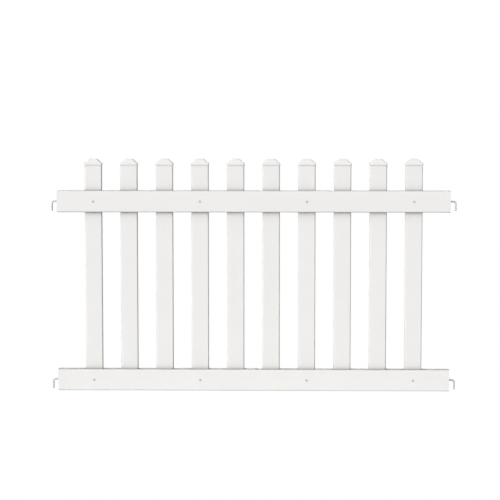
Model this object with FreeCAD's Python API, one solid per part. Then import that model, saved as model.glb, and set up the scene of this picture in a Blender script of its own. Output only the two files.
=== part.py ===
"""White vinyl picket fence panel: hollow rails, pickets routed through them, slip-on caps, end hooks.

Millimetres. X runs along the panel, Y from front to back and Z up.
The origin is the middle of the lower rail's underside, so the panel stands on Z = 0.
"""
import FreeCAD
import Part

import os

# Rails: extruded hollow profile, one on the ground and one near the top
RAIL_LENGTH = 1800.0
RAIL_HEIGHT = 98.5
RAIL_DEPTH = 50.0
RAIL_WALL = 2.4
RAIL_CORNER_RADIUS = 4.0
CLEAR_HEIGHT_BETWEEN_RAILS = 725.0

# Pickets: flat hollow profile, evenly spaced between the end margins.
# The rise is the bare stretch between the upper rail and the cap's rim.
PICKET_COUNT = 10
PICKET_END_MARGIN = 166.5
PICKET_RISE = 117.5
PICKET_WIDTH = 79.0
PICKET_DEPTH = 22.0
PICKET_WALL = 1.8
PICKET_CORNER_RADIUS = 3.2
MORTISE_CLEARANCE = 0.3

# Picket caps: moulded shell with a short skirt, clipped corners and a narrow flat top
CAP_SKIRT_HEIGHT = 6.0
CAP_CROWN_HEIGHT = 21.5
CAP_TOP_WIDTH = 36.0
CAP_TOP_DEPTH = 20.0
CAP_CORNER_CHAMFER = 2.0
CAP_WALL = 1.7
CAP_CLEARANCE = 0.3

# End plugs: moulded box that closes each rail end and holds the hook in a blind boss
PLUG_LENGTH = 60.0
PLUG_FACE = 4.0
PLUG_WALL = 2.5
PLUG_CLEARANCE = 0.3
BOSS_WALL = 4.0
BOSS_FLOOR = 5.0
RIB_THICKNESS = 2.5

# Hooks: round steel rod, bent down at a right angle outside the rail end
HOOK_ROD_RADIUS = 4.0
HOOK_REACH = 25.0
HOOK_DROP = 44.0
HOOK_BEND_RADIUS = 10.0
HOOK_SHANK = 48.0
HOOK_TIP_CHAMFER = 1.2
HOOK_CLEARANCE = 0.2

# Places worked out from the sizes above
RAIL_END = RAIL_LENGTH / 2
RAIL_UNDERSIDES = {"upper": RAIL_HEIGHT + CLEAR_HEIGHT_BETWEEN_RAILS, "lower": 0.0}
PICKET_PITCH = (RAIL_LENGTH - 2 * PICKET_END_MARGIN) / (PICKET_COUNT - 1)
PICKET_CENTRES = [PICKET_END_MARGIN - RAIL_END + i * PICKET_PITCH for i in range(PICKET_COUNT)]
PICKET_FOOT = RAIL_WALL
CAP_RIM = RAIL_UNDERSIDES["upper"] + RAIL_HEIGHT + PICKET_RISE
CAP_SHOULDER = CAP_RIM + CAP_SKIRT_HEIGHT
PANEL_HEIGHT = CAP_SHOULDER + CAP_CROWN_HEIGHT

ORIGIN = FreeCAD.Vector(0, 0, 0)
ALONG = FreeCAD.Vector(1, 0, 0)
BACK = FreeCAD.Vector(0, 1, 0)
UP = FreeCAD.Vector(0, 0, 1)


def rounded_outline(width, depth, radius):
    """Closed wire in the XY plane: a width by depth rectangle about the origin with round corners."""
    x, y = width / 2 - radius, depth / 2 - radius
    corners = [(x, y), (-x, y), (-x, -y), (x, -y)]
    arcs = []
    for quarter, (centre_x, centre_y) in enumerate(corners):
        centre = FreeCAD.Vector(centre_x, centre_y, 0)
        arcs.append(Part.makeCircle(radius, centre, UP, 90 * quarter, 90 * (quarter + 1)))
    edges = []
    for arc, following in zip(arcs, arcs[1:] + arcs[:1]):
        edges.append(arc)
        edges.append(Part.makeLine(arc.Vertexes[-1].Point, following.Vertexes[0].Point))
    return Part.Wire(edges)


def rounded_prism(width, depth, radius, bottom, top):
    """Upright prism over a rounded rectangle about the Z axis."""
    outline = Part.Face(rounded_outline(width, depth, radius))
    outline.translate(UP * bottom)
    return outline.extrude(UP * (top - bottom))


def block(length, depth, height, centre_x, bottom):
    """Square-cornered block, centred front to back."""
    return Part.makeBox(length, depth, height, FreeCAD.Vector(centre_x - length / 2, -depth / 2, bottom))


def rail(underside, goes_through):
    """Hollow rail with a routed mortise for every picket, through both walls or the top wall only."""
    lying = rounded_prism(RAIL_HEIGHT, RAIL_DEPTH, RAIL_CORNER_RADIUS, -RAIL_END, RAIL_END)
    lying.rotate(ORIGIN, BACK, 90)
    lying.translate(UP * (RAIL_HEIGHT / 2))
    hollow = block(RAIL_LENGTH, RAIL_DEPTH - 2 * RAIL_WALL, RAIL_HEIGHT - 2 * RAIL_WALL, 0, RAIL_WALL)
    tube = lying.cut(hollow)
    lowest = -RAIL_WALL if goes_through else RAIL_HEIGHT / 2
    mortise = block(
        PICKET_WIDTH + 2 * MORTISE_CLEARANCE,
        PICKET_DEPTH + 2 * MORTISE_CLEARANCE,
        RAIL_HEIGHT + RAIL_WALL - lowest,
        0,
        lowest,
    )
    mortises = [mortise.translated(ALONG * centre) for centre in PICKET_CENTRES]
    return tube.cut(mortises).translated(UP * underside)


def picket(centre):
    """Hollow picket from the lower rail's inner floor up to the cap's shoulder."""
    outer = rounded_prism(PICKET_WIDTH, PICKET_DEPTH, PICKET_CORNER_RADIUS, PICKET_FOOT, CAP_SHOULDER)
    bore = block(
        PICKET_WIDTH - 2 * PICKET_WALL,
        PICKET_DEPTH - 2 * PICKET_WALL,
        CAP_SHOULDER - PICKET_FOOT,
        0,
        PICKET_FOOT,
    )
    return outer.cut(bore).translated(ALONG * centre)


def gable_outline(width, top_width, bottom, shoulder, top, sideways):
    """Face with upright sides up to the shoulder that then slope in to a narrower flat top."""
    half_profile = [(width / 2, bottom), (width / 2, shoulder), (top_width / 2, top)]
    profile = half_profile + [(-across, height) for across, height in reversed(half_profile)]
    points = [sideways * across + UP * height for across, height in profile]
    return Part.Face(Part.makePolygon(points + points[:1]))


def hipped_block(width, depth, top_width, top_depth, bottom, shoulder, top):
    """Block with four upright sides up to the shoulder and four slopes above it."""
    front = gable_outline(width, top_width, bottom, shoulder, top, ALONG)
    side = gable_outline(depth, top_depth, bottom, shoulder, top, BACK)
    through = front.translated(BACK * (-depth)).extrude(BACK * (2 * depth))
    along = side.translated(ALONG * (-width)).extrude(ALONG * (2 * width))
    return through.common(along)


def picket_cap(centre):
    """Slip-on cap: the skirt goes over the picket, and its shoulder rests on the picket's end."""
    pocket_width = PICKET_WIDTH + 2 * CAP_CLEARANCE
    pocket_depth = PICKET_DEPTH + 2 * CAP_CLEARANCE
    width = pocket_width + 2 * CAP_WALL
    depth = pocket_depth + 2 * CAP_WALL
    hips = hipped_block(width, depth, CAP_TOP_WIDTH, CAP_TOP_DEPTH, CAP_RIM, CAP_SHOULDER, PANEL_HEIGHT)
    square = block(width, depth, PANEL_HEIGHT - CAP_RIM, 0, CAP_RIM)
    upright_edges = [edge for edge in square.Edges if edge.BoundBox.ZLength > CAP_SKIRT_HEIGHT]
    outside = hips.common(square.makeChamfer(CAP_CORNER_CHAMFER, upright_edges))
    pocket = block(pocket_width, pocket_depth, CAP_SKIRT_HEIGHT, 0, CAP_RIM)
    hollow = hipped_block(
        PICKET_WIDTH - 2 * PICKET_WALL,
        PICKET_DEPTH - 2 * PICKET_WALL,
        CAP_TOP_WIDTH - 2 * CAP_WALL,
        CAP_TOP_DEPTH - 2 * CAP_WALL,
        CAP_RIM,
        CAP_SHOULDER,
        PANEL_HEIGHT - CAP_WALL,
    )
    return outside.cut([pocket, hollow]).translated(ALONG * centre)


def end_plug(underside):
    """Plug for the rail's +X end: a face flush with the rail, a box behind it, a blind boss and ribs."""
    gap = RAIL_WALL + PLUG_CLEARANCE
    height = RAIL_HEIGHT - 2 * gap
    depth = RAIL_DEPTH - 2 * gap
    inside_length = PLUG_LENGTH - PLUG_FACE
    inside_centre = RAIL_END - PLUG_FACE - inside_length / 2
    box = block(PLUG_LENGTH, depth, height, RAIL_END - PLUG_LENGTH / 2, gap)
    inside = block(
        inside_length,
        depth - 2 * PLUG_WALL,
        height - 2 * PLUG_WALL,
        inside_centre,
        gap + PLUG_WALL,
    )
    rod_height = RAIL_HEIGHT / 2
    boss_length = HOOK_SHANK + BOSS_FLOOR
    boss_start = FreeCAD.Vector(RAIL_END - boss_length, 0, rod_height)
    boss = Part.makeCylinder(HOOK_ROD_RADIUS + HOOK_CLEARANCE + BOSS_WALL, boss_length, boss_start, ALONG)
    rib_centre = RAIL_END - boss_length / 2
    upright_rib = block(boss_length, RIB_THICKNESS, height - PLUG_WALL, rib_centre, gap + PLUG_WALL / 2)
    level_rib_bottom = rod_height - RIB_THICKNESS / 2
    level_rib = block(boss_length, depth - PLUG_WALL, RIB_THICKNESS, rib_centre, level_rib_bottom)
    bore_start = FreeCAD.Vector(RAIL_END - HOOK_SHANK, 0, rod_height)
    bore = Part.makeCylinder(HOOK_ROD_RADIUS + HOOK_CLEARANCE, HOOK_SHANK, bore_start, ALONG)
    plug = box.cut(inside).fuse([boss, upright_rib, level_rib]).cut(bore).removeSplitter()
    return plug.translated(UP * underside)


def hook(underside):
    """Hook for the rail's +X end: shank in the boss, a quarter bend, and a leg that points down."""
    rod_height = underside + RAIL_HEIGHT / 2
    shank_start = FreeCAD.Vector(RAIL_END - HOOK_SHANK, 0, rod_height)
    bend_start = FreeCAD.Vector(RAIL_END + HOOK_REACH - HOOK_BEND_RADIUS, 0, rod_height)
    bend_centre = bend_start - UP * HOOK_BEND_RADIUS
    leg_top = bend_centre + ALONG * HOOK_BEND_RADIUS
    leg_length = HOOK_DROP - HOOK_BEND_RADIUS
    shank = Part.makeCylinder(HOOK_ROD_RADIUS, (bend_start - shank_start).Length, shank_start, ALONG)
    section = Part.Face(Part.Wire(Part.makeCircle(HOOK_ROD_RADIUS, bend_start, ALONG)))
    bend = section.revolve(bend_centre, BACK, 90)
    leg = Part.makeCylinder(HOOK_ROD_RADIUS, leg_length, leg_top, -UP)
    rod = shank.fuse([bend, leg]).removeSplitter()
    lowest = min(rod.Edges, key=lambda edge: edge.BoundBox.ZMax)
    return rod.makeChamfer(HOOK_TIP_CHAMFER, [lowest])


def at_left_end(shape):
    """The same piece at the rail's -X end."""
    return shape.mirror(ORIGIN, ALONG)


def pieces():
    """Every piece of the panel by its node name."""
    made = {}
    for level, underside in RAIL_UNDERSIDES.items():
        made[f"{level}_rail"] = rail(underside, goes_through=level == "upper")
        plug = end_plug(underside)
        rod = hook(underside)
        made[f"{level}_right_end_plug"] = plug
        made[f"{level}_left_end_plug"] = at_left_end(plug)
        made[f"{level}_right_hook"] = rod
        made[f"{level}_left_hook"] = at_left_end(rod)
    for number, centre in enumerate(PICKET_CENTRES, start=1):
        made[f"picket_{number:02d}"] = picket(centre)
        made[f"picket_cap_{number:02d}"] = picket_cap(centre)
    return made


def main():
    os.makedirs("parts", exist_ok=True)
    for name, shape in pieces().items():
        if not shape.isValid() or len(shape.Solids) != 1:
            raise ValueError(f"{name} is not one valid solid")
        shape.Solids[0].exportStep(os.path.join("parts", f"{name}.step"))
        print(f"{name}: {shape.Volume / 1000:.1f} cm3")


main()
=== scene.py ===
# %% [markdown]
# # A white vinyl picket fence panel
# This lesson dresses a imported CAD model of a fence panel: two hollow rails, ten hollow pickets
# that go through the upper rail and stand in the lower one, a cap on every picket, and a plug and
# a bent steel hook at each rail end. The CAD model gives the true sizes. We could paint it as it
# is, but its edges are sharp or coarse, so every piece is modelled again over its CAD node with
# the roundings that catch light. All lengths are in metres. X runs along the rails, Y from front
# to back, and Z up from the ground.

# %% Load the frame
import math

import bmesh
import bpy
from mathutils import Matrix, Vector


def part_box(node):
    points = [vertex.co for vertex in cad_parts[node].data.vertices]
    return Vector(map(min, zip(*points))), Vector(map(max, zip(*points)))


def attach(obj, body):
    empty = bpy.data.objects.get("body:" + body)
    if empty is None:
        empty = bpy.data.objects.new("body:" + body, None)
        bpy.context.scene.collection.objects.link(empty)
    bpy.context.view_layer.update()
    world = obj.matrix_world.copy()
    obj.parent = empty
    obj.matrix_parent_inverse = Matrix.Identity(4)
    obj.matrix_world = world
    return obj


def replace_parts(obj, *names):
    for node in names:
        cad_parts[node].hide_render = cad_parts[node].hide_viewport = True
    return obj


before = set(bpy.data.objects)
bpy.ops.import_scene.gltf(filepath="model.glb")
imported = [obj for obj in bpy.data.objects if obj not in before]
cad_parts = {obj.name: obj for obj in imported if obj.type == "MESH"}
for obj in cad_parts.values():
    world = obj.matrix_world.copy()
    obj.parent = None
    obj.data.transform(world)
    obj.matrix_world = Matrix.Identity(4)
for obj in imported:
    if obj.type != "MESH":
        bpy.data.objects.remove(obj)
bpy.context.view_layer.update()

MM = 0.001
X, Y, Z = range(3)


# %% [markdown]
# ## The camera
# The photograph was taken from about eight metres in front, a little right of the middle and
# above the top of the panel. A long lens keeps the pickets almost parallel. The place and the
# two angles come from matching picket edges, rail edges and cap tops with the photograph. An
# unturned camera looks straight down, so it is first raised to level and then tilted.

# %% Camera
CAMERA_PLACE = (0.1411, -8.0, 1.3392)
CAMERA_LEVEL = 90
CAMERA_TURN_LEFT = 1.1240
CAMERA_TILT_DOWN = 4.928
FOCAL_PIXELS = 1749.4
FRAME_PIXELS = 500
SENSOR_WIDTH = 36.0

camera_data = bpy.data.cameras.new("camera")
camera_data.sensor_width = SENSOR_WIDTH
camera_data.lens = FOCAL_PIXELS / FRAME_PIXELS * SENSOR_WIDTH
camera = bpy.data.objects.new("camera", camera_data)
camera.location = CAMERA_PLACE
camera.rotation_euler.x = math.radians(CAMERA_LEVEL - CAMERA_TILT_DOWN)
camera.rotation_euler.z = math.radians(CAMERA_TURN_LEFT)
bpy.context.scene.collection.objects.link(camera)
bpy.context.scene.camera = camera
print("Camera lens", round(camera_data.lens, 1), "mm")

# %% [markdown]
# ## Picking, as by hand
# Blender's operators act on whatever is selected, so each piece starts from an empty selection.
# In edit mode a person clicks on faces and edges. A script picks them by their place or direction.

# %% Picking helpers
STRAIGHT = 0.99
FACING = 0.9


def clear_selection():
    """Deselect every object, so that the next operator acts on the new piece alone."""
    bpy.ops.object.select_all(action="DESELECT")


def begin(name):
    """Name the new primitive, move its size and place into its mesh, and go into edit mode."""
    piece = bpy.context.object
    piece.name = name
    piece.data.name = name
    bpy.ops.object.transform_apply(location=True, rotation=True, scale=True)
    bpy.ops.object.mode_set(mode="EDIT")
    return piece


def pick(piece, kind, test):
    """Select the faces or the edges of a piece in edit mode that pass a test."""
    bpy.ops.mesh.select_mode(type={"faces": "FACE", "edges": "EDGE"}[kind])
    bpy.ops.mesh.select_all(action="DESELECT")
    mesh = bmesh.from_edit_mesh(piece.data)
    for item in getattr(mesh, kind):
        item.select_set(test(item))
    mesh.select_flush_mode()
    bmesh.update_edit_mesh(piece.data)


def runs_along(edge, axis):
    """True for an edge that runs along the axis with this number."""
    span = edge.verts[1].co - edge.verts[0].co
    return abs(span[axis]) > STRAIGHT * span.length


def looks_along(face, axis, way):
    """True for a face that looks along the axis with this number. Way is 1 or -1."""
    return face.normal[axis] * way > FACING


print("Edges are picked within", round(math.degrees(math.acos(STRAIGHT))), "degrees of an axis,",
      "faces within", round(math.degrees(math.acos(FACING))))

# %% [markdown]
# ## Modifiers and shading
# A modifier could stay live, but here it is applied at once, so that the mesh holds the finished
# shape. Smooth shading hides the steps of a rounding. Weighted normals then keep the large flat
# faces flat, so that only the roundings shade.

# %% Modifier helpers
SMOOTH_BELOW = 35


def apply_modifier(piece, kind, **settings):
    """Add a modifier with these settings and apply it to the mesh."""
    modifier = piece.modifiers.new(kind.lower(), kind)
    for setting, value in settings.items():
        setattr(modifier, setting, value)
    bpy.context.view_layer.objects.active = piece
    bpy.ops.object.modifier_apply(modifier=modifier.name)


def select_only(piece):
    """Select one piece alone and make it the active one."""
    clear_selection()
    piece.select_set(True)
    bpy.context.view_layer.objects.active = piece


def smooth(piece, degrees=SMOOTH_BELOW):
    """Smooth the roundings, keep the sharp edges, and let the flat faces rule the shading."""
    select_only(piece)
    bpy.ops.object.shade_smooth_by_angle(angle=math.radians(degrees))
    apply_modifier(piece, "WEIGHTED_NORMAL", keep_sharp=True)


print("Edges under", SMOOTH_BELOW, "degrees are shaded smooth")

# %% [markdown]
# ## The rails
# A vinyl rail is pushed through a die: a thin hollow profile with softly rounded long edges. A
# solid bar would look the same at first, but the mortises open into the hollow. So we start from
# a cube of the rail's size, take its two ends off, round the four long edges and give the skin a
# wall inwards. The pickets are made by the same function.

# %% Rail profiles
RAIL_WALL = 2.4 * MM
RAIL_ROUNDING = 6.0 * MM
PROFILE_STEPS = 6
LEVELS = ("upper", "lower")


def middle_and_size(low, high):
    """The middle of a box and its size along each axis."""
    return (low + high) / 2, high - low


def hollow_profile(name, node, lengthwise, rounding, wall):
    """A hollow profile over a CAD node, open at both ends of the axis with this number."""
    clear_selection()
    middle, size = middle_and_size(*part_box(node))
    bpy.ops.mesh.primitive_cube_add(size=1.0, location=middle, scale=size)
    profile = begin(name)
    pick(profile, "faces", lambda face: any(looks_along(face, lengthwise, way) for way in (-1, 1)))
    bpy.ops.mesh.delete(type="FACE")
    pick(profile, "edges", lambda edge: runs_along(edge, lengthwise))
    bpy.ops.mesh.bevel(offset=rounding, segments=PROFILE_STEPS, affect="EDGES")
    bpy.ops.object.mode_set(mode="OBJECT")
    apply_modifier(profile, "SOLIDIFY", thickness=wall, offset=-1.0, use_even_offset=True)
    return profile


rails = {}
for level in LEVELS:
    rails[level] = hollow_profile(f"{level}_rail_profile", f"{level}_rail", X, RAIL_ROUNDING, RAIL_WALL)
    print(rails[level].name, len(rails[level].data.polygons), "faces before routing")

# %% [markdown]
# ## The mortises
# A router cuts a mortise for every picket: through the top and the bottom of the upper rail, and
# through the top alone of the lower one. Holes could be inset in each wall and bridged, one by
# one. A Boolean with a row of round-cornered cutters routes all ten at once, as the router does.

# %% Routed mortises
PICKET_COUNT = 10
NUMBERS = range(1, PICKET_COUNT + 1)
MORTISE_CLEARANCE = 0.3 * MM
MORTISE_ROUNDING = 5.8 * MM
MORTISE_STEPS = 5

picket_boxes = {number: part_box(f"picket_{number:02d}") for number in NUMBERS}
PICKET_PITCH = (picket_boxes[PICKET_COUNT][0].x - picket_boxes[1][0].x) / (PICKET_COUNT - 1)


def mortise_cutters(bottom, top):
    """A row of round-cornered cutters, one at every picket."""
    clear_selection()
    middle, size = middle_and_size(*picket_boxes[1])
    place = (middle.x, middle.y, (bottom + top) / 2)
    width = size.x + 2 * MORTISE_CLEARANCE
    depth = size.y + 2 * MORTISE_CLEARANCE
    bpy.ops.mesh.primitive_cube_add(size=1.0, location=place, scale=(width, depth, top - bottom))
    cutters = begin("mortise_cutters")
    pick(cutters, "edges", lambda edge: runs_along(edge, Z))
    bpy.ops.mesh.bevel(offset=MORTISE_ROUNDING, segments=MORTISE_STEPS, affect="EDGES")
    bpy.ops.object.mode_set(mode="OBJECT")
    apply_modifier(cutters, "ARRAY", count=PICKET_COUNT, use_relative_offset=False,
                   use_constant_offset=True, constant_offset_displace=(PICKET_PITCH, 0, 0))
    return cutters


for level, rail in rails.items():
    low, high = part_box(f"{level}_rail")
    bottom = low.z - RAIL_WALL if level == "upper" else (low.z + high.z) / 2
    cutters = mortise_cutters(bottom, high.z + RAIL_WALL)
    apply_modifier(rail, "BOOLEAN", operation="DIFFERENCE", object=cutters, solver="EXACT")
    bpy.data.objects.remove(cutters)
    smooth(rail)
    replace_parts(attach(rail, "root"), f"{level}_rail")
    print(rail.name, len(rail.data.polygons), "faces after routing, pitch", round(PICKET_PITCH / MM, 1))

# %% [markdown]
# ## The pickets
# A picket is a flatter hollow profile, cut to length and slid down through the mortises until it
# stands on the floor of the lower rail. It is made like a rail, but upright. One picket is
# modelled, and the other nine are copies at the same pitch, each with a mesh of its own.

# %% Pickets
PICKET_WALL = 1.8 * MM
PICKET_ROUNDING = 5.6 * MM


def copy_along(piece, name, distance):
    """Copy a finished piece, with its own mesh, to a place further along X."""
    select_only(piece)
    bpy.ops.object.duplicate(linked=False)
    twin = bpy.context.object
    twin.name = name
    twin.data.name = name
    bpy.ops.transform.translate(value=(distance, 0, 0))
    bpy.ops.object.transform_apply(location=True, rotation=False, scale=False)
    return twin


def row_of_copies(first, name):
    """A finished first piece and its copies, one at every picket, by number."""
    row = {1: first}
    for number in NUMBERS[1:]:
        row[number] = copy_along(first, f"{name}_{number:02d}", PICKET_PITCH * (number - 1))
    return row


first_picket = hollow_profile("picket_profile_01", "picket_01", Z, PICKET_ROUNDING, PICKET_WALL)
smooth(first_picket)
pickets = row_of_copies(first_picket, "picket_profile")
for number, picket in pickets.items():
    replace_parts(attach(picket, "root"), f"picket_{number:02d}")
print(len(pickets), "pickets of", len(first_picket.data.polygons), "faces")

# %% [markdown]
# ## The picket caps
# Each cap is a moulded shell that slips over the picket: a short skirt, then a crown whose corners
# are clipped at a little under 45 degrees up to a narrow flat top. We start from a cube as tall as
# the skirt and extrude its top face upwards while it shrinks. One bevel could round all edges
# alike, but the mould is softer on the upright and slanted edges than on the level ones, so each
# edge gets a bevel weight first, and the rim keeps none. Two insets under the rim, each pushed up,
# make the pocket for the picket and the hollow of the crown.

# %% Picket caps
CAP_SKIRT = 6.0 * MM
CAP_TOP_WIDTH = 36.0 * MM
CAP_TOP_DEPTH = 20.0 * MM
CAP_WALL = 1.7 * MM
CAP_ROUNDING = 4.0 * MM
CAP_LEVEL_SHARE = 0.4
CAP_STEPS = 4


def extrude_up(height, shrink_x, shrink_y, centre):
    """Extrude the picked face upwards and shrink what was extruded about a centre."""
    bpy.ops.mesh.extrude_region_move(TRANSFORM_OT_translate={"value": (0, 0, height)})
    bpy.ops.transform.resize(value=(shrink_x, shrink_y, 1), center_override=centre)


def dog_ear_cap(name, node):
    """A hollow cap with clipped corners over a CAD cap."""
    clear_selection()
    low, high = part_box(node)
    middle, size = middle_and_size(low, high)
    mid_skirt = low.z + CAP_SKIRT / 2
    shrink_x = CAP_TOP_WIDTH / size.x
    shrink_y = CAP_TOP_DEPTH / size.y
    bpy.ops.mesh.primitive_cube_add(size=1.0, location=(middle.x, middle.y, mid_skirt),
                                    scale=(size.x, size.y, CAP_SKIRT))
    cap = begin(name)
    pick(cap, "faces", lambda face: looks_along(face, Z, 1))
    extrude_up(size.z - CAP_SKIRT, shrink_x, shrink_y, middle)
    pick(cap, "edges", lambda edge: min(vert.co.z for vert in edge.verts) > mid_skirt)
    bpy.ops.transform.edge_bevelweight(value=CAP_LEVEL_SHARE)
    pick(cap, "edges", lambda edge: not (runs_along(edge, X) or runs_along(edge, Y)))
    bpy.ops.transform.edge_bevelweight(value=1.0)
    bpy.ops.object.mode_set(mode="OBJECT")
    apply_modifier(cap, "BEVEL", limit_method="WEIGHT", width=CAP_ROUNDING, segments=CAP_STEPS)
    bpy.ops.object.mode_set(mode="EDIT")
    pick(cap, "faces", lambda face: max(vert.co.z for vert in face.verts) < low.z + CAP_WALL)
    bpy.ops.mesh.inset(thickness=CAP_WALL)
    extrude_up(CAP_SKIRT, 1, 1, middle)
    bpy.ops.mesh.inset(thickness=PICKET_WALL)
    extrude_up(size.z - CAP_SKIRT - CAP_WALL, shrink_x, shrink_y, middle)
    bpy.ops.object.mode_set(mode="OBJECT")
    smooth(cap)
    return cap


first_cap = dog_ear_cap("dog_ear_cap_01", "picket_cap_01")
caps = row_of_copies(first_cap, "dog_ear_cap")
for number, cap in caps.items():
    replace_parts(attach(cap, "root"), f"picket_cap_{number:02d}")
print(len(caps), "caps of", len(first_cap.data.polygons), "faces")

# %% [markdown]
# ## The end plugs
# A moulded plug closes each rail end and carries the hook. Only its flat face shows, set just
# inside the rail's walls, with a round hole for the hook's rod. It is a cube with its hidden end
# taken off, rounded long edges and a wall inwards. The edge round its face is softened last,
# because a wall thicker than a rounding would fold over inside it. A Boolean drills the hole.

# %% End plugs
PLUG_WALL = 2.5 * MM
PLUG_CORNER = 3.3 * MM
PLUG_CORNER_STEPS = 5
PLUG_ROUNDING = 0.8 * MM
PLUG_ROUNDING_STEPS = 3
ROD_RADIUS = 4.0 * MM
ROD_CLEARANCE = 0.2 * MM
DRILL_DEPTH = 20.0 * MM
DRILL_SIDES = 48
QUARTER_TURN = math.pi / 2


def rail_end_plug(name, node, outward):
    """A plug over a CAD plug. Its face points along X, and outward is 1 or -1."""
    clear_selection()
    low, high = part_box(node)
    middle, size = middle_and_size(low, high)
    face_x = high.x if outward > 0 else low.x
    bpy.ops.mesh.primitive_cube_add(size=1.0, location=middle, scale=size)
    plug = begin(name)
    pick(plug, "faces", lambda face: looks_along(face, X, -outward))
    bpy.ops.mesh.delete(type="FACE")
    pick(plug, "edges", lambda edge: runs_along(edge, X))
    bpy.ops.mesh.bevel(offset=PLUG_CORNER, segments=PLUG_CORNER_STEPS, affect="EDGES")
    bpy.ops.object.mode_set(mode="OBJECT")
    apply_modifier(plug, "SOLIDIFY", thickness=PLUG_WALL, offset=-1.0, use_even_offset=True)
    bpy.ops.object.mode_set(mode="EDIT")
    pick(plug, "edges", lambda edge: all(abs(vert.co.x - face_x) < PLUG_ROUNDING for vert in edge.verts))
    bpy.ops.mesh.bevel(offset=PLUG_ROUNDING, segments=PLUG_ROUNDING_STEPS, affect="EDGES")
    bpy.ops.object.mode_set(mode="OBJECT")
    clear_selection()
    bpy.ops.mesh.primitive_cylinder_add(
        vertices=DRILL_SIDES, radius=ROD_RADIUS + ROD_CLEARANCE, depth=DRILL_DEPTH,
        location=(face_x, middle.y, middle.z), rotation=(0, QUARTER_TURN, 0))
    drill = bpy.context.object
    apply_modifier(plug, "BOOLEAN", operation="DIFFERENCE", object=drill, solver="EXACT")
    bpy.data.objects.remove(drill)
    smooth(plug)
    return plug


SIDES = {"left": -1, "right": 1}
RAIL_ENDS = [(level, side, outward) for level in LEVELS for side, outward in SIDES.items()]
plugs = []
for level, side, outward in RAIL_ENDS:
    node = f"{level}_{side}_end_plug"
    plug = rail_end_plug(f"{level}_{side}_rail_plug", node, outward)
    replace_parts(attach(plug, "root"), node)
    plugs.append(plug)
print(len(plugs), "plugs of", len(plugs[0].data.polygons), "faces")

# %% [markdown]
# ## The hooks
# A hook is one steel rod, bent down at a right angle. It drops into an eye of the next panel's
# post. A curve with a round section could make it, but the bevel at its tip needs a mesh. So a
# circle is extruded along the rail, spun a quarter turn for the bend, and extruded down. The tip
# gets a small bevel, as a cut rod is dressed on a grinder.

# %% Hooks
ROD_SIDES = 32
ROD_BEND = 10.0 * MM
ROD_BEND_STEPS = 12
ROD_TIP = 1.2 * MM
ROD_TIP_STEPS = 3
MERGE_BELOW = 0.001 * MM


def rod_hook(name, node, outward):
    """A bent rod over a CAD hook, in the panel's middle plane. Outward is 1 or -1, along X."""
    clear_selection()
    low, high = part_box(node)
    axis_z = high.z - ROD_RADIUS
    inner_x, outer_x = (low.x, high.x - ROD_RADIUS) if outward > 0 else (high.x, low.x + ROD_RADIUS)
    bend_x = outer_x - outward * ROD_BEND
    bend_centre = (bend_x, 0, axis_z - ROD_BEND)
    bpy.ops.mesh.primitive_circle_add(
        vertices=ROD_SIDES, radius=ROD_RADIUS, fill_type="NGON",
        location=(inner_x, 0, axis_z), rotation=(0, QUARTER_TURN, 0))
    hook = begin(name)
    bpy.ops.mesh.select_all(action="SELECT")
    bpy.ops.mesh.extrude_region_move(TRANSFORM_OT_translate={"value": (bend_x - inner_x, 0, 0)})
    bpy.ops.mesh.spin(steps=ROD_BEND_STEPS, angle=-outward * QUARTER_TURN,
                      center=bend_centre, axis=(0, 1, 0))
    drop = low.z - (axis_z - ROD_BEND)
    bpy.ops.mesh.extrude_region_move(TRANSFORM_OT_translate={"value": (0, 0, drop)})
    pick(hook, "edges", lambda edge: max(vert.co.z for vert in edge.verts) < low.z + ROD_TIP / 2)
    bpy.ops.mesh.bevel(offset=ROD_TIP, segments=ROD_TIP_STEPS, affect="EDGES")
    bpy.ops.mesh.select_all(action="SELECT")
    bpy.ops.mesh.remove_doubles(threshold=MERGE_BELOW)
    bpy.ops.mesh.normals_make_consistent(inside=False)
    bpy.ops.object.mode_set(mode="OBJECT")
    smooth(hook)
    return hook


hooks = []
for level, side, outward in RAIL_ENDS:
    node = f"{level}_{side}_hook"
    hook = rod_hook(f"{level}_{side}_rod_hook", node, outward)
    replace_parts(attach(hook, "root"), node)
    hooks.append(hook)
    reach = max(abs(corner[X]) for corner in hook.bound_box)
    print(hook.name, len(hook.data.polygons), "faces, reaches", round(reach / MM, 1), "mm to its side")

# %% [markdown]
# ## The screws
# A pan-head screw goes through the front of each rail into pickets 1, 4, 7 and 10, and keeps them
# from lifting out. It is far too small to matter for the CAD model, so it is modelled here. The
# head is a short cylinder whose face is inset and pushed out twice into a low dome, and two thin
# bars cut the cross recess. The back is inset and pulled out into the shank. A screw stops where
# it is tight, so every cross has a turn of its own.

# %% Pan-head screws
HEAD_RADIUS = 4.0 * MM
HEAD_EDGE = 1.3 * MM
HEAD_SIDES = 32
DOME_RINGS = ((0.7 * MM, 0.65 * MM), (1.0 * MM, 0.4 * MM))  # width and rise, from the edge inwards
DOME_SMOOTH_BELOW = 40
SHANK_RADIUS = 1.9 * MM
SHANK_LENGTH = 22.0 * MM
RECESS_WIDTH = 1.2 * MM
RECESS_SPAN = 4.6 * MM
RECESS_DEPTH = 1.5 * MM
SCREWED_PICKETS = (1, 4, 7, 10)
CROSS_TURNS = {"upper": (12, 47, 78, 31), "lower": (64, 5, 83, 40)}


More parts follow.
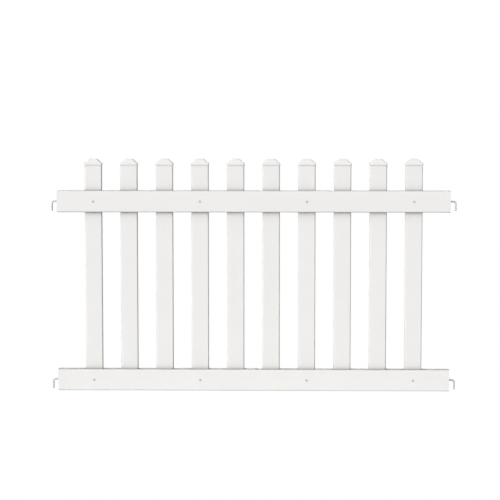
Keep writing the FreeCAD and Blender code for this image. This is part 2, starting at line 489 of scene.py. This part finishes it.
def pan_head_screw(name, x, y, z, turn):
    """A screw whose head rests on a surface that faces the front. Turn is the cross's, in degrees."""
    clear_selection()
    bpy.ops.mesh.primitive_cylinder_add(
        vertices=HEAD_SIDES, radius=HEAD_RADIUS, depth=HEAD_EDGE,
        location=(x, y - HEAD_EDGE / 2, z), rotation=(QUARTER_TURN, 0, 0))
    screw = begin(name)
    pick(screw, "faces", lambda face: looks_along(face, Y, -1))
    top = y - HEAD_EDGE
    for width, rise in DOME_RINGS:
        bpy.ops.mesh.inset(thickness=width, depth=rise)
        top -= rise
    pick(screw, "faces", lambda face: looks_along(face, Y, 1))
    bpy.ops.mesh.inset(thickness=HEAD_RADIUS - SHANK_RADIUS)
    bpy.ops.mesh.extrude_region_move(TRANSFORM_OT_translate={"value": (0, SHANK_LENGTH, 0)})
    bpy.ops.mesh.merge(type="CENTER")
    bpy.ops.object.mode_set(mode="OBJECT")
    for bar_turn in (math.radians(turn), math.radians(turn) + QUARTER_TURN):
        clear_selection()
        bpy.ops.mesh.primitive_cube_add(
            size=1.0, location=(x, top, z), rotation=(0, bar_turn, 0),
            scale=(RECESS_SPAN, 2 * RECESS_DEPTH, RECESS_WIDTH))
        bar = bpy.context.object
        apply_modifier(screw, "BOOLEAN", operation="DIFFERENCE", object=bar, solver="EXACT")
        bpy.data.objects.remove(bar)
    smooth(screw, DOME_SMOOTH_BELOW)
    return screw


screws = []
for level, turns in CROSS_TURNS.items():
    rail_low, rail_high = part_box(f"{level}_rail")
    middle_z = (rail_low.z + rail_high.z) / 2
    for number, turn in zip(SCREWED_PICKETS, turns):
        middle_x = middle_and_size(*picket_boxes[number])[0].x
        screw = pan_head_screw(f"{level}_rail_screw_{number:02d}", middle_x, rail_low.y, middle_z, turn)
        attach(screw, "root")
        screws.append(screw)
print(len(screws), "screws of", len(screws[0].data.polygons), "faces")

# %% [markdown]
# ## Colours and nodes
# A colour is written as people read it, in sRGB hex, and a shader wants it linear. One function
# turns it, and one function adds a node with its settings and links. A Mix node has sockets of the
# same names for numbers, vectors and colours, so the ones for colours are called by their numbers.

# %% Colour and node helpers
MIX_A = 6
MIX_B = 7
MIX_RESULT = 2


def linear(hex_colour):
    """An sRGB hex colour as the linear RGBA that a shader socket takes."""
    channels = [int(hex_colour[i:i + 2], 16) / 255 for i in (1, 3, 5)]
    return [c / 12.92 if c <= 0.04045 else ((c + 0.055) / 1.055) ** 2.4 for c in channels] + [1.0]


def add_node(tree, kind, settings=None, links=None):
    """Add a node, set its properties or socket values, and link its inputs."""
    node = tree.nodes.new(kind)
    for name, value in (settings or {}).items():
        if isinstance(name, int) or name in node.inputs:
            node.inputs[name].default_value = value
        else:
            setattr(node, name, value)
    for name, output in (links or {}).items():
        tree.links.new(output, node.inputs[name])
    return node


def new_material(name):
    """An empty material with nodes on, and its tree."""
    material = bpy.data.materials.new(name)
    material.use_nodes = True
    material.node_tree.nodes.clear()
    return material, material.node_tree


def give_finish(pieces, material):
    """Put a material on these pieces and print how many they are."""
    for piece in pieces:
        piece.data.materials.append(material)
    print(material.name, "on", len(pieces), "pieces")


print("Mid grey #808080 is", round(linear("#808080")[0], 2), "of full light")

# %% [markdown]
# ## White vinyl with painted shade in its corners
# Every white piece is rigid PVC, white right through. Where a picket enters a rail and under the
# rim of a cap, the shapes shade each other. An Ambient Occlusion node finds such corners from the
# shapes themselves and greys the white there: this is painted shade, laid into the colour on top
# of the shade that the lamps cast. Both vinyl finishes below share this colour.

# %% Vinyl colour
VINYL_WHITE = "#EEEDEB"
VINYL_SHADE = "#EBEAE8"
WALL_WAVE = 110.0 * MM
# These settings paint shade into the corners: the Ambient Occlusion node darkens the white where the
# shapes occlude each other.
PAINTED_SHADE_REACH = 120.0 * MM
PAINTED_SHADE_SAMPLES = 8
FULL_SHADE_OCCLUSION = 0.5
PAINTED_SHADE_DARKEST = 0.4


def vinyl_colour(tree, place):
    """A white that drifts a little over the panel, with painted shade greying its corners. Gives colour
    and drift.
    """
    drift = add_node(tree, "ShaderNodeTexNoise", {"Scale": 1 / WALL_WAVE, "Detail": 1.0}, {
        "Vector": place}).outputs["Fac"]
    tint = add_node(tree, "ShaderNodeMix", {
        "data_type": "RGBA", MIX_A: linear(VINYL_SHADE), MIX_B: linear(VINYL_WHITE)}, {"Factor": drift})
    # Painted shade: the colour is darkened where nearby shapes occlude the surface.
    corners = add_node(tree, "ShaderNodeAmbientOcclusion", {
        "samples": PAINTED_SHADE_SAMPLES, "Distance": PAINTED_SHADE_REACH})
    painted_shade = add_node(tree, "ShaderNodeMapRange", {"From Min": FULL_SHADE_OCCLUSION, "To Min": PAINTED_SHADE_DARKEST}, {
        "Value": corners.outputs["AO"]})
    shaded_tint = add_node(tree, "ShaderNodeMix", {
        "data_type": "RGBA", "blend_type": "MULTIPLY", "Factor": 1.0}, {
        MIX_A: tint.outputs[MIX_RESULT], MIX_B: painted_shade.outputs[0]})
    return shaded_tint.outputs[MIX_RESULT], drift


# How far the painted corner shade reaches.
print("Painted corner shade reaches", round(PAINTED_SHADE_REACH / MM), "mm out of a corner")

# %% [markdown]
# ## Extruded vinyl
# Rails and pickets come out of a die, which leaves faint lines along the profile, and the wall is
# never quite flat, so a highlight wavers a little along it. The lines are stretched noise: long
# along the profile and a few millimetres apart across it. Real die lines are under a millimetre
# apart, which no camera at this distance would see, so they are drawn coarser.

# %% Extruded vinyl
PVC_IOR = 1.53
PVC_SPECULAR = 0.35
DIE_LINE_SPACING = 7.0 * MM
DIE_LINE_LENGTH = 900.0 * MM
DIE_LINE_BUMP = {"Strength": 0.4, "Distance": 0.02 * MM}
DIE_LINE_ROUGHNESS = {"To Min": 0.6, "To Max": 0.7}
WALL_WAVE_BUMP = {"Strength": 0.5, "Distance": 0.25 * MM}


def extruded_vinyl(name, lengthwise):
    """Rigid PVC with die lines along the axis with this number: a satin, slightly wavy white."""
    material, tree = new_material(name)
    place = add_node(tree, "ShaderNodeTexCoord").outputs["Object"]
    colour, drift = vinyl_colour(tree, place)
    across = [1 / DIE_LINE_SPACING] * 3
    across[lengthwise] = 1 / DIE_LINE_LENGTH
    stretched = add_node(tree, "ShaderNodeMapping", {"Scale": across}, {"Vector": place})
    lines = add_node(tree, "ShaderNodeTexNoise", {"Scale": 1.0, "Detail": 2.0}, {
        "Vector": stretched.outputs[0]}).outputs["Fac"]
    gloss = add_node(tree, "ShaderNodeMapRange", DIE_LINE_ROUGHNESS, {"Value": lines})
    wavy = add_node(tree, "ShaderNodeBump", WALL_WAVE_BUMP, {"Height": drift})
    lined = add_node(tree, "ShaderNodeBump", DIE_LINE_BUMP, {"Height": lines, "Normal": wavy.outputs[0]})
    shader = add_node(tree, "ShaderNodeBsdfPrincipled", {
        "IOR": PVC_IOR, "Specular IOR Level": PVC_SPECULAR}, {
        "Base Color": colour, "Roughness": gloss.outputs[0], "Normal": lined.outputs[0]})
    add_node(tree, "ShaderNodeOutputMaterial", None, {"Surface": shader.outputs[0]})
    return material


give_finish(rails.values(), extruded_vinyl("extruded_rigid_pvc_rail", X))
give_finish(pickets.values(), extruded_vinyl("extruded_rigid_pvc_picket", Z))

# %% [markdown]
# ## Moulded vinyl
# Caps and plugs are moulded from the same white compound. A spark-eroded mould gives them a fine
# even grain instead of lines, and they look a touch duller than the extrusions. The real grain is
# finer than a millimetre, so it is drawn coarser, to show in a close view.

# %% Moulded vinyl
MOULD_GRAIN = 1.6 * MM
MOULD_GRAIN_BUMP = {"Strength": 0.3, "Distance": 0.03 * MM}
MOULD_ROUGHNESS = 0.7


def moulded_vinyl(name):
    """Rigid PVC from a grained mould: the same white, matter and without direction."""
    material, tree = new_material(name)
    place = add_node(tree, "ShaderNodeTexCoord").outputs["Object"]
    colour = vinyl_colour(tree, place)[0]
    grain = add_node(tree, "ShaderNodeTexNoise", {"Scale": 1 / MOULD_GRAIN, "Detail": 3.0}, {
        "Vector": place})
    grained = add_node(tree, "ShaderNodeBump", MOULD_GRAIN_BUMP, {"Height": grain.outputs["Fac"]})
    shader = add_node(tree, "ShaderNodeBsdfPrincipled", {
        "IOR": PVC_IOR, "Specular IOR Level": PVC_SPECULAR, "Roughness": MOULD_ROUGHNESS}, {
        "Base Color": colour, "Normal": grained.outputs[0]})
    add_node(tree, "ShaderNodeOutputMaterial", None, {"Surface": shader.outputs[0]})
    return material


give_finish([*caps.values(), *plugs], moulded_vinyl("moulded_rigid_pvc"))

# %% [markdown]
# ## Zinc-plated steel
# Hooks and screws are mild steel with a thin coat of zinc. It is a grey metal with a soft shine,
# and the plating is a little cloudy: patches of some millimetres reflect more or less sharply.

# %% Zinc-plated steel
ZINC_DARK = "#A6A7A8"
ZINC_LIGHT = "#B8B9B9"
ZINC_CLOUD = 5.0 * MM
ZINC_ROUGHNESS = {"To Min": 0.5, "To Max": 0.65}


def zinc_plated_steel(name):
    """Plated steel: a grey metal whose roughness drifts in small clouds."""
    material, tree = new_material(name)
    place = add_node(tree, "ShaderNodeTexCoord").outputs["Object"]
    cloud = add_node(tree, "ShaderNodeTexNoise", {"Scale": 1 / ZINC_CLOUD, "Detail": 3.0}, {
        "Vector": place}).outputs["Fac"]
    tint = add_node(tree, "ShaderNodeMix", {
        "data_type": "RGBA", MIX_A: linear(ZINC_DARK), MIX_B: linear(ZINC_LIGHT)}, {"Factor": cloud})
    gloss = add_node(tree, "ShaderNodeMapRange", ZINC_ROUGHNESS, {"Value": cloud})
    shader = add_node(tree, "ShaderNodeBsdfPrincipled", {"Metallic": 1.0}, {
        "Base Color": tint.outputs[MIX_RESULT], "Roughness": gloss.outputs[0]})
    add_node(tree, "ShaderNodeOutputMaterial", None, {"Surface": shader.outputs[0]})
    return material


give_finish(hooks + screws, zinc_plated_steel("zinc_plated_steel"))

# %% [markdown]
# ## The floor
# The panel stands on a plain pale floor. Seen by the camera, or in a shiny surface, most of the
# floor's look is a white glow. The rest is matte and keeps a faint shadow of the panel, and the
# glow is a little over 1 to make up for it. For all other light the floor is a quiet grey. It casts
# no shadow itself, because the vinyl's painted corner shade would then take the ground for a corner.

# %% Floor
FLOOR_SIZE = 4000.0
FLOOR_GREY = "#9A9A9A"
FLOOR_GLOW = 1.075
FLOOR_GLOW_SHARE = 0.92
WHITE = "#FFFFFF"


def seen_by_eye(tree):
    """One where a ray comes from the camera or off a shiny surface, and nought elsewhere."""
    paths = add_node(tree, "ShaderNodeLightPath")
    shiny = add_node(tree, "ShaderNodeMath", {"operation": "MAXIMUM"}, {
        0: paths.outputs["Is Glossy Ray"], 1: paths.outputs["Is Transmission Ray"]})
    return add_node(tree, "ShaderNodeMath", {"operation": "MAXIMUM"}, {
        0: paths.outputs["Is Camera Ray"], 1: shiny.outputs[0]}).outputs[0]


clear_selection()
bpy.ops.mesh.primitive_plane_add(size=FLOOR_SIZE, location=(0, 0, 0))
floor = begin("floor")
bpy.ops.object.mode_set(mode="OBJECT")
floor.visible_shadow = False
floor_material, tree = new_material("pale_studio_floor")
share = add_node(tree, "ShaderNodeMath", {"operation": "MULTIPLY", 1: FLOOR_GLOW_SHARE}, {
    0: seen_by_eye(tree)})
matte = add_node(tree, "ShaderNodeBsdfDiffuse", {"Color": linear(FLOOR_GREY)})
glow = add_node(tree, "ShaderNodeEmission", {"Color": linear(WHITE), "Strength": FLOOR_GLOW})
mixed = add_node(tree, "ShaderNodeMixShader", None, {
    "Fac": share.outputs[0], 1: matte.outputs[0], 2: glow.outputs[0]})
add_node(tree, "ShaderNodeOutputMaterial", None, {"Surface": mixed.outputs[0]})
give_finish([floor], floor_material)

# %% [markdown]
# ## The white background
# Behind the panel all is white. A white world could light everything too, but it would drown the
# shading. So only the camera and shiny surfaces see it white, and it adds little light itself.

# %% World
SKY_STRENGTH = 0.12

world = bpy.data.worlds.new("studio")
bpy.context.scene.world = world
world.use_nodes = True
tree = world.node_tree
tree.nodes.clear()
soft = add_node(tree, "ShaderNodeBackground", {"Color": linear(WHITE), "Strength": SKY_STRENGTH})
white = add_node(tree, "ShaderNodeBackground", {"Color": linear(WHITE), "Strength": 1.0})
mixed = add_node(tree, "ShaderNodeMixShader", None, {
    "Fac": seen_by_eye(tree), 1: soft.outputs[0], 2: white.outputs[0]})
add_node(tree, "ShaderNodeOutputWorld", None, {"Surface": mixed.outputs[0]})
print("The sky lights the panel with a strength of", SKY_STRENGTH)

# %% [markdown]
# ## The studio lights
# The photograph is lit by broad soft lights from the front left, most of it low and some from
# higher up, which leaves the right side of every picket and the space under the rails in shade.
# Both ends of the panel are equally bright, so the lamps must be far away. A sun lamp is as far
# as can be, and a wide angle makes its shadows soft. Three lamps behind show the back and the
# pickets' sides. A narrow one shines along the rails on their right end, where each picket hides
# the next from it. These four are level with the panel, so the tops of the rails stay in shade.

# %% Lights
LAMPS = {  # azimuth, elevation and width in degrees, and strength
    "low_key": (-30, 8, 26, 2.56),
    "high_key": (-30, 48, 38, 0.86),
    "back_key": (180, 0, 6, 1.7),
    "back_left": (-157, 1, 24, 0.7),
    "back_right": (157, 1, 24, 0.3),
    "right_end": (91, 0, 2, 0.35),
}


def far_lamp(name, azimuth, elevation, width, strength):
    """A lamp as far as the sun. Azimuth 0 is in front of the panel, and minus is to its left."""
    side = math.radians(azimuth)
    height = math.radians(elevation)
    flat = math.cos(height)
    towards = Vector((math.sin(side) * flat, -math.cos(side) * flat, math.sin(height)))
    bpy.ops.object.light_add(type="SUN")
    lamp = bpy.context.object
    lamp.name = name
    lamp.rotation_euler = towards.to_track_quat("Z", "Y").to_euler()
    lamp.data.angle = math.radians(width)
    lamp.data.energy = strength


for name, settings in LAMPS.items():
    far_lamp(name, *settings)
bpy.context.scene.view_settings.view_transform = "Standard"
print("Lamps", list(LAMPS))
